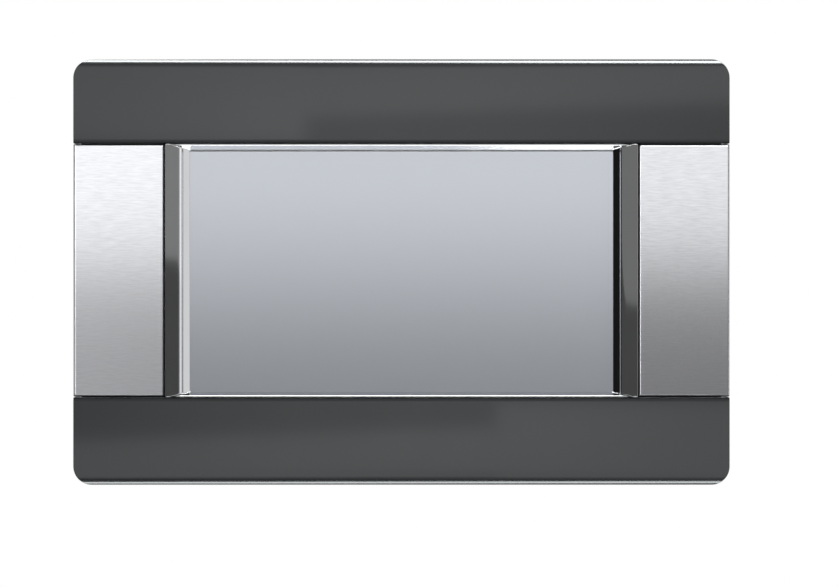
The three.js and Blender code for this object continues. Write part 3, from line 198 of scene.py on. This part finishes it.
def make_world():
    """White to the camera, even light for matt surfaces, and a dark room with a pale back for gloss."""
    world = bpy.data.worlds.new("studio")
    bpy.context.scene.world = world
    world.use_nodes = True
    tree = world.node_tree
    tree.nodes.clear()
    output = tree.nodes.new("ShaderNodeOutputWorld")
    seen = tree.nodes.new("ShaderNodeBackground")
    seen.inputs["Color"].default_value = (1, 1, 1, 1)
    matt = tree.nodes.new("ShaderNodeBackground")
    matt.inputs["Color"].default_value = MATT_LIGHT
    matt.inputs["Strength"].default_value = MATT_STRENGTH
    gloss = tree.nodes.new("ShaderNodeBackground")
    gloss.inputs["Color"].default_value = (1, 1, 1, 1)
    direction = tree.nodes.new("ShaderNodeTexCoord")
    axes = tree.nodes.new("ShaderNodeSeparateXYZ")
    behind = tree.nodes.new("ShaderNodeMapRange")
    behind.inputs["From Min"].default_value = 0.0
    behind.inputs["From Max"].default_value = BACK_FROM
    behind.inputs["To Min"].default_value = ROOM_STRENGTH
    behind.inputs["To Max"].default_value = BACK_STRENGTH
    path = tree.nodes.new("ShaderNodeLightPath")
    matt_or_gloss = tree.nodes.new("ShaderNodeMixShader")
    seen_or_not = tree.nodes.new("ShaderNodeMixShader")
    link = tree.links.new
    link(direction.outputs["Generated"], axes.inputs[0])
    link(axes.outputs["Y"], behind.inputs["Value"])
    link(behind.outputs["Result"], gloss.inputs["Strength"])
    link(path.outputs["Is Glossy Ray"], matt_or_gloss.inputs[0])
    link(matt.outputs[0], matt_or_gloss.inputs[1])
    link(gloss.outputs[0], matt_or_gloss.inputs[2])
    link(path.outputs["Is Camera Ray"], seen_or_not.inputs[0])
    link(matt_or_gloss.outputs[0], seen_or_not.inputs[1])
    link(seen.outputs[0], seen_or_not.inputs[2])
    link(seen_or_not.outputs[0], output.inputs["Surface"])


FLOOR_SIZE = 24.0
FLOOR_DROP = 1.6
FLOOR_COLOR = (0.8, 0.8, 0.8)
FLOOR_ROUGHNESS = 0.7
FLOOR_GLOW = (0.97, 0.98, 1, 1)
FLOOR_GLOW_STRENGTH = 0.42


def make_floor():
    """A wide floor, far enough below that the object can be seen from underneath."""
    mesh = bpy.data.meshes.new("floor")
    bm = bmesh.new()
    bmesh.ops.create_grid(bm, x_segments=1, y_segments=1, size=FLOOR_SIZE / 2)
    bm.to_mesh(mesh)
    bm.free()
    floor = bpy.data.objects.new("floor", mesh)
    floor.location = (0, 0, -FLOOR_DROP)
    floor.visible_glossy = False
    floor.visible_diffuse = False
    bpy.context.scene.collection.objects.link(floor)
    finish = plastic("floor_finish", FLOOR_COLOR, FLOOR_ROUGHNESS, grain=0.0)
    shader = finish.node_tree.nodes["Principled BSDF"]
    shader.inputs["Emission Color"].default_value = FLOOR_GLOW
    shader.inputs["Emission Strength"].default_value = FLOOR_GLOW_STRENGTH
    mesh.materials.append(finish)


# ------------------------------------------------------------------ materials


class Shader:
    """A material's node tree with a Principled shader, and short ways to add nodes to it."""

    def __init__(self, name):
        self.material = bpy.data.materials.new(name)
        self.material.use_nodes = True
        self.tree = self.material.node_tree
        self.shader = self.tree.nodes["Principled BSDF"]

    def set(self, **values):
        for name, value in values.items():
            self.shader.inputs[name.replace("_", " ")].default_value = value
        return self

    def link(self, source, target):
        self.tree.links.new(source, target)

    def node(self, kind, **values):
        made = self.tree.nodes.new(kind)
        for name, value in values.items():
            made.inputs[name.replace("_", " ")].default_value = value
        return made

    def place(self, scale=(1, 1, 1)):
        """Object coordinates in metres, multiplied by scale."""
        coordinates = self.tree.nodes.new("ShaderNodeTexCoord")
        mapping = self.node("ShaderNodeMapping", Scale=scale)
        self.link(coordinates.outputs["Object"], mapping.inputs["Vector"])
        return mapping.outputs["Vector"]

    def noise(self, vector, scale=1.0, detail=3.0, roughness=0.5):
        made = self.node("ShaderNodeTexNoise", Scale=scale, Detail=detail, Roughness=roughness)
        self.link(vector, made.inputs["Vector"])
        return made.outputs["Fac"]

    def ranged(self, value, low, high, source_low=0.0, source_high=1.0):
        made = self.node("ShaderNodeMapRange")
        made.inputs["From Min"].default_value = source_low
        made.inputs["From Max"].default_value = source_high
        made.inputs["To Min"].default_value = low
        made.inputs["To Max"].default_value = high
        self.link(value, made.inputs["Value"])
        return made.outputs["Result"]

    def mixed(self, factor, low, high):
        """A colour between low and high."""
        made = self.tree.nodes.new("ShaderNodeMix")
        made.data_type = "RGBA"
        for socket, value in ((made.inputs[6], low), (made.inputs[7], high)):
            if isinstance(value, tuple):
                socket.default_value = (*value, 1) if len(value) == 3 else value
            else:
                self.link(value, socket)
        self.link(factor, made.inputs["Factor"])
        return made.outputs[2]

    def bump(self, height, depth, strength=1.0):
        """Bumps of the given depth in metres."""
        made = self.node("ShaderNodeBump", Strength=strength, Distance=depth)
        self.link(height, made.inputs["Height"])
        self.link(made.outputs["Normal"], self.shader.inputs["Normal"])


def shade(color, factor):
    return tuple(min(1.0, channel * factor) for channel in color)


def painted(name, color, roughness, metallic=0.75):
    """Metallic lacquer: fine flake, faint mottling and an orange-peel surface."""
    s = Shader(name).set(Metallic=metallic)
    flake = s.noise(s.place(), 9000, 1)
    mottle = s.noise(s.place(), 60, 3)
    flaked = s.mixed(flake, shade(color, 0.9), shade(color, 1.1))
    s.link(s.mixed(s.ranged(mottle, 0, 0.12), flaked, shade(color, 1.3)), s.shader.inputs["Base Color"])
    s.link(s.ranged(mottle, roughness - 0.03, roughness + 0.03), s.shader.inputs["Roughness"])
    s.bump(s.noise(s.place(), 900, 2), 0.000004)
    return s.material


def brushed(name, color, roughness, along="x", contrast=0.13):
    """Metal brushed along one axis: short overlapping strokes, and finer and longer hairlines."""
    strokes = {"x": (200, 900, 2300), "z": (2300, 900, 200)}[along]
    hairs = {"x": (30, 900, 6500), "z": (6500, 900, 30)}[along]
    s = Shader(name).set(Metallic=1.0)
    stroke = s.ranged(s.noise(s.place(strokes), 1.0, 3, 0.6), 0, 1, 0.3, 0.7)
    hair = s.noise(s.place(hairs), 1.0, 3, 0.6)
    stroked = s.mixed(stroke, shade(color, 1 - contrast), shade(color, 1 + 0.7 * contrast))
    haired = s.mixed(s.ranged(hair, 0, 0.35), stroked, shade(color, 0.8))
    s.link(haired, s.shader.inputs["Base Color"])
    s.link(s.ranged(stroke, roughness + 0.03, roughness - 0.03), s.shader.inputs["Roughness"])
    s.bump(stroke, 0.000006)
    return s.material


def plastic(name, color, roughness, grain=0.00001, grain_size=2500):
    """Moulded plastic: a fine spark-eroded grain and faint flow marks."""
    s = Shader(name).set(Metallic=0.0)
    flow = s.noise(s.place(), 45, 3)
    s.link(s.mixed(flow, shade(color, 0.88), shade(color, 1.12)), s.shader.inputs["Base Color"])
    s.link(s.ranged(flow, roughness - 0.05, roughness + 0.05), s.shader.inputs["Roughness"])
    s.bump(s.noise(s.place(), grain_size, 2), grain)
    return s.material


def polished(name, color, roughness):
    """Bright plating with a trace of unevenness in its gloss."""
    s = Shader(name).set(Metallic=1.0)
    haze = s.noise(s.place(), 120, 2)
    s.link(s.mixed(haze, shade(color, 0.98), shade(color, 1.02)), s.shader.inputs["Base Color"])
    s.link(s.ranged(haze, roughness * 0.6, roughness * 1.4), s.shader.inputs["Roughness"])
    return s.material


def plated(name, color, roughness):
    """Plated or turned metal: a cloudy colour and fine tool marks."""
    s = Shader(name).set(Metallic=1.0)
    cloud = s.noise(s.place(), 220, 3)
    s.link(s.mixed(cloud, shade(color, 0.82), shade(color, 1.1)), s.shader.inputs["Base Color"])
    s.link(s.ranged(cloud, roughness - 0.08, roughness + 0.08), s.shader.inputs["Roughness"])
    s.bump(s.noise(s.place(), 2600, 2), 0.000006)
    return s.material


def clear_glass(name, roughness):
    """Clear cover glass with a faint anti-glare surface."""
    s = Shader(name).set(Metallic=0.0, IOR=1.5, Base_Color=(1, 1, 1, 1))
    s.shader.inputs["Transmission Weight"].default_value = 1.0
    haze = s.noise(s.place(), 400, 2)
    s.link(s.ranged(haze, roughness * 0.5, roughness * 1.5), s.shader.inputs["Roughness"])
    return s.material


# The screen's painted glow: painted light, paler at the top, in place of the light from above on its
# glass.
SCREEN_PAINTED_TOP = (0.565, 0.59, 0.64)
SCREEN_PAINTED_BOTTOM = (0.225, 0.238, 0.26)
SCREEN_PAINTED_EVEN = 0.05  # share of its height, at the top, where the painted glow is evenly pale


def painted_glow_display(name):
    """A display with a painted glow: a grey field, paler towards the top, that stands in for the light
    from above on the screen.
    """
    s = Shader(name).set(Metallic=0.0, Roughness=0.5)
    s.shader.inputs["Base Color"].default_value = (0.02, 0.02, 0.02, 1)
    axes = s.tree.nodes.new("ShaderNodeSeparateXYZ")
    s.link(s.place(), axes.inputs[0])
    height = glass_high.z - glass_low.z
    # painted light: the glow grows paler upwards, as if lit from above
    painted_fade = s.node("ShaderNodeMapRange")
    painted_fade.interpolation_type = "SMOOTHSTEP"
    painted_fade.inputs["From Min"].default_value = glass_low.z
    painted_fade.inputs["From Max"].default_value = glass_high.z - SCREEN_PAINTED_EVEN * height
    s.link(axes.outputs["Z"], painted_fade.inputs["Value"])
    pixels = s.noise(s.place((14000, 1, 14000)), 1.0, 0)
    painted_field = s.mixed(painted_fade.outputs["Result"], SCREEN_PAINTED_BOTTOM, SCREEN_PAINTED_TOP)
    painted_grained = s.mixed(s.ranged(pixels, 0, 0.03), painted_field, (1, 1, 1))
    s.link(painted_grained, s.shader.inputs["Emission Color"])
    s.shader.inputs["Emission Strength"].default_value = 1.0
    return s.material


def circuit_board(name):
    """Green solder resist over copper tracks, which run square to one another."""
    s = Shader(name).set(Metallic=0.0)
    tracks = s.node(
        "ShaderNodeTexBrick", Scale=1.0, Mortar_Size=0.12, Row_Height=0.25, Brick_Width=0.7
    )
    turned = s.tree.nodes.new("ShaderNodeMapping")
    turned.inputs["Rotation"].default_value = (math.radians(90), 0, 0)
    s.link(s.place((420, 420, 420)), turned.inputs["Vector"])
    s.link(turned.outputs["Vector"], tracks.inputs["Vector"])
    resist = s.mixed(tracks.outputs["Fac"], (0.012, 0.07, 0.03), (0.03, 0.16, 0.06))
    s.link(resist, s.shader.inputs["Base Color"])
    s.link(s.ranged(s.noise(s.place(), 300, 2), 0.25, 0.4), s.shader.inputs["Roughness"])
    s.bump(tracks.outputs["Fac"], 0.00003)
    return s.material


def flex_film(name):
    """Amber film with fine tracks along its length."""
    s = Shader(name).set(Metallic=0.0, Roughness=0.35)
    tracks = s.node("ShaderNodeTexWave", Scale=900.0, Distortion=0.0)
    s.link(s.place(), tracks.inputs["Vector"])
    film = s.mixed(tracks.outputs["Fac"], (0.32, 0.13, 0.02), (0.5, 0.24, 0.05))
    s.link(film, s.shader.inputs["Base Color"])
    return s.material


FINISHES = {
    "gunmetal_trim": painted("gunmetal_trim", (0.155, 0.162, 0.164), 0.22, 0.85),
    "brushed_plate": brushed("brushed_plate", (0.79, 0.80, 0.825), 0.34),
    "cover_shell": painted("cover_shell", (0.12, 0.122, 0.125), 0.35, 0.6),
    "cheek_strip": polished("cheek_strip", (0.88, 0.89, 0.9), 0.1),
    "chrome_surround": polished("chrome_surround", (0.9, 0.91, 0.92), 0.06),
    "black_moulding": plastic("black_moulding", (0.02, 0.02, 0.022), 0.5),
    "seal_rubber": plastic("seal_rubber", (0.012, 0.012, 0.012), 0.8, 0.00003, 1500),
    "touch_glass": clear_glass("touch_glass", 0.04),
    "display_layers": plastic("display_layers", (0.6, 0.61, 0.63), 0.3),
    "flex_film": flex_film("flex_film"),
    "zinc_plated_steel": plated("zinc_plated_steel", (0.6, 0.61, 0.62), 0.34),
    "circuit_board": circuit_board("circuit_board"),
    "dark_component": plastic("dark_component", (0.018, 0.018, 0.02), 0.45, 0.000006, 4000),
    "pale_plastic": plastic("pale_plastic", (0.7, 0.7, 0.66), 0.45),
    "heat_sink_metal": brushed("heat_sink_metal", (0.55, 0.56, 0.58), 0.4, "z", 0.06),
    "terminal_green": plastic("terminal_green", (0.03, 0.2, 0.07), 0.42),
    "insert_brass": plated("insert_brass", (0.62, 0.43, 0.15), 0.3),
    "label_metal": brushed("label_metal", (0.6, 0.61, 0.62), 0.42, "x", 0.05),
}
# the screen's painted glow
PAINTED_GLOW = painted_glow_display("painted_glow_display")


def dress_nodes():
    slots = {each["node"]: each["material_slot"] for each in record["subparts"]}
    for name, node in nodes.items():
        node.data.materials.clear()
        # the lcd_cell gets the painted glow in place of a lit screen
        node.data.materials.append(PAINTED_GLOW if name == "lcd_cell" else FINISHES[slots[name]])


# ------------------------------------------------------------------ rounded edges on the CAD nodes


def smoothing_group(angle):
    """A modifier that joins a solid's faces and shades it smooth, but for edges over an angle."""
    group = bpy.data.node_groups.new("smooth_faces", "GeometryNodeTree")
    group.interface.new_socket("Geometry", in_out="INPUT", socket_type="NodeSocketGeometry")
    group.interface.new_socket("Geometry", in_out="OUTPUT", socket_type="NodeSocketGeometry")
    source = group.nodes.new("NodeGroupInput")
    target = group.nodes.new("NodeGroupOutput")
    merge = group.nodes.new("GeometryNodeMergeByDistance")
    merge.inputs["Distance"].default_value = 1e-6
    faces = group.nodes.new("GeometryNodeSetShadeSmooth")
    faces.domain = "FACE"
    edges = group.nodes.new("GeometryNodeSetShadeSmooth")
    edges.domain = "EDGE"
    edges.inputs["Shade Smooth"].default_value = False
    turn = group.nodes.new("GeometryNodeInputMeshEdgeAngle")
    sharp = group.nodes.new("FunctionNodeCompare")
    sharp.data_type = "FLOAT"
    sharp.operation = "GREATER_THAN"
    sharp.inputs["B"].default_value = angle
    link = group.links.new
    link(source.outputs[0], merge.inputs["Geometry"])
    link(merge.outputs["Geometry"], faces.inputs["Geometry"])
    link(faces.outputs["Geometry"], edges.inputs["Geometry"])
    link(turn.outputs["Unsigned Angle"], sharp.inputs["A"])
    link(sharp.outputs["Result"], edges.inputs["Selection"])
    link(edges.outputs["Geometry"], target.inputs[0])
    return group


SMOOTHING = smoothing_group(math.radians(28))
FLAT_WITHIN = math.radians(0.5)  # faces that turn less than this are joined into one
ROUND_OVER = math.radians(40)  # edges sharper than this are rounded
ROUND_SEGMENTS = 2


def round_edges(node, width):
    """Smooths a CAD node and, given a width, rounds its sharp edges, with modifiers alone."""
    smooth = node.modifiers.new("smooth_faces", "NODES")
    smooth.node_group = SMOOTHING
    if not width:
        return
    flat = node.modifiers.new("flat_faces", "DECIMATE")
    flat.decimate_type = "DISSOLVE"
    flat.angle_limit = FLAT_WITHIN
    bevel = node.modifiers.new("rounded_edges", "BEVEL")
    bevel.width = width
    bevel.segments = ROUND_SEGMENTS
    bevel.limit_method = "ANGLE"
    bevel.angle_limit = ROUND_OVER
    bevel.harden_normals = True
    bevel.use_clamp_overlap = True


EDGE_WIDTH = 0.12  # in mm, of the edges on most nodes
EDGE_WIDTHS = {
    "top_trim": 0.25,
    "bottom_trim": 0.25,
    "rear_housing": 0,  # a bevel tears its back face, round the many holes
    "screen_surround": 0.3,
    "left_side_plate": 0.2,
    "right_side_plate": 0.2,
}


def round_nodes():
    for name, node in nodes.items():
        round_edges(node, EDGE_WIDTHS.get(name, EDGE_WIDTH) * MM)


# ------------------------------------------------------------------ rolled rims

RIM_SET_BACK = 0.65 * MM  # of the surround's edge behind the face of the trims
RIM_GAP = 0.3 * MM  # from that edge to the trim
RIM_REACH = 5 * MM  # beyond the opening, at each end
RIM_ROUND = 0.05 * MM
# Each point of its section, back from the front and in from the edge, in mm.
RIM_SECTION = ((0.9, 0.42), (0.14, 0.42), (0, 0.32), (0, 0.1), (0.12, 0), (0.9, 0))
GLASS_OVERLAP = 3 * MM  # of the glass behind the opening's edges


def make_rim(name, edge, up):
    """The rolled edge of the lip above (up = 1) or below (up = -1) the screen."""
    half = glass_high.x - GLASS_OVERLAP + RIM_REACH
    mesh = bpy.data.meshes.new(name)
    bm = bmesh.new()
    ends = []
    for x in (-half, half):
        ring = [
            bm.verts.new((x, FACE_Y + RIM_SET_BACK + back * MM, edge - up * inward * MM))
            for back, inward in RIM_SECTION
        ]
        ends.append(ring)
    count = len(RIM_SECTION)
    for i in range(count):
        j = (i + 1) % count
        bm.faces.new((ends[0][i], ends[0][j], ends[1][j], ends[1][i]))
    bm.faces.new(ends[0])
    bm.faces.new(reversed(ends[1]))
    bmesh.ops.recalc_face_normals(bm, faces=bm.faces)
    bm.to_mesh(mesh)
    bm.free()
    rim = bpy.data.objects.new(name, mesh)
    bpy.context.scene.collection.objects.link(rim)
    mesh.materials.append(FINISHES["chrome_surround"])
    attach(rim, "panel")
    bevel = rim.modifiers.new("rounded_edges", "BEVEL")
    bevel.width = RIM_ROUND
    bevel.segments = ROUND_SEGMENTS
    added[name] = rim


def make_rims():
    make_rim("upper_lip_rim", top_low.z - RIM_GAP, 1)
    make_rim("lower_lip_rim", bottom_high.z + RIM_GAP, -1)


# ------------------------------------------------------------------ the scene

make_rims()
make_camera()
make_lights()
make_world()
make_floor()
dress_nodes()
round_nodes()

bpy.context.scene.view_settings.view_transform = "Standard"
